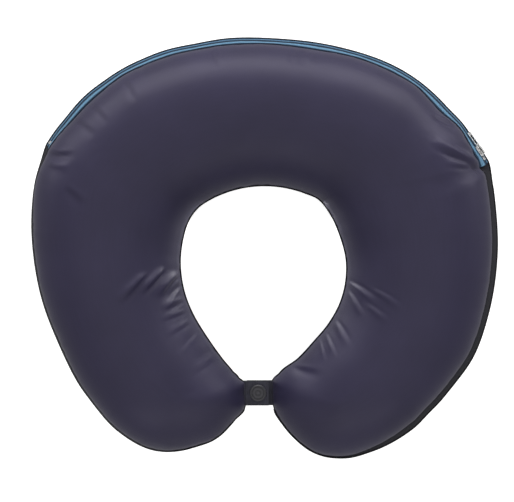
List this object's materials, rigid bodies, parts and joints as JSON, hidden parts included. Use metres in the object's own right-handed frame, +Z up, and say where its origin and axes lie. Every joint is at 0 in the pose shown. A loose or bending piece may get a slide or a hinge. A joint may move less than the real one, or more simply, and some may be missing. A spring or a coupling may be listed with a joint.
{
  "type": "u shaped neck pillow",
  "caption": "U-shaped travel neck pillow with a zipped satin cover, a removable filled insert and a press-stud tab that closes the front.",
  "frame": {"origin": "centre of the bounding box in plan, at the height of the surface the pillow lies on", "axes": "+Z up from the surface it lies on, +Y towards the back of the neck, +X to the right seen from above with the front closure towards -Y"},
  "size_m": [0.3521, 0.319, 0.0908],
  "materials": {
    "face_nylon": "satin",
    "underside": "matte",
    "band_fabric": "matte",
    "case_fabric": "matte",
    "fibre": "matte",
    "zip_tape": "satin",
    "zip_coil": "satin",
    "nickel": "satin",
    "webbing": "matte",
    "snap_plastic": "satin"
  },
  "bodies": {
    "cover": {"top_panel": "face_nylon", "bottom_panel": "underside", "side_band_left": "band_fabric", "side_band_right": "band_fabric", "inner_liner_top": "case_fabric", "inner_liner_bottom": "case_fabric", "filling": "fibre", "zip_tape_upper": "zip_tape", "zip_tape_lower": "zip_tape", "zip_coil_upper": "zip_coil", "zip_coil_lower": "zip_coil", "zip_top_stop_upper": "nickel", "zip_top_stop_lower": "nickel", "zip_bottom_stop": "nickel"},
    "slider": {"slider_body": "nickel"},
    "pull": {"slider_pull": "nickel"},
    "snap_tab": {"strap_left": "webbing", "snap_cap": "snap_plastic", "snap_socket": "snap_plastic"},
    "stud_tab": {"strap_right": "webbing", "snap_stud": "snap_plastic", "snap_stud_cap": "snap_plastic"}
  },
  "joints": [
    {"name": "zip_travel", "type": "hinge", "parent": "cover", "child": "slider", "pos_m": [-0.0029, -0.0453, 0.0487], "axis": [0, 0, 1], "range_deg": [0, 104]},
    {"name": "pull_swing", "type": "hinge", "parent": "slider", "child": "pull", "pos_m": [0.16358, 0.07345, 0.04939], "axis": [0.2488, 0.1774, -0.9522], "range_deg": [0, 165]},
    {"name": "snap_tab_lift", "type": "hinge", "parent": "cover", "child": "snap_tab", "pos_m": [-0.0155, -0.11, 0.0466], "axis": [0, -1, 0], "range_deg": [0, 68], "deforming": ["strap_left"]},
    {"name": "stud_tab_drop", "type": "hinge", "parent": "cover", "child": "stud_tab", "pos_m": [0.006, -0.11, 0.0414], "axis": [0, -1, 0], "range_deg": [0, 58], "deforming": ["strap_right"]}
  ]
}
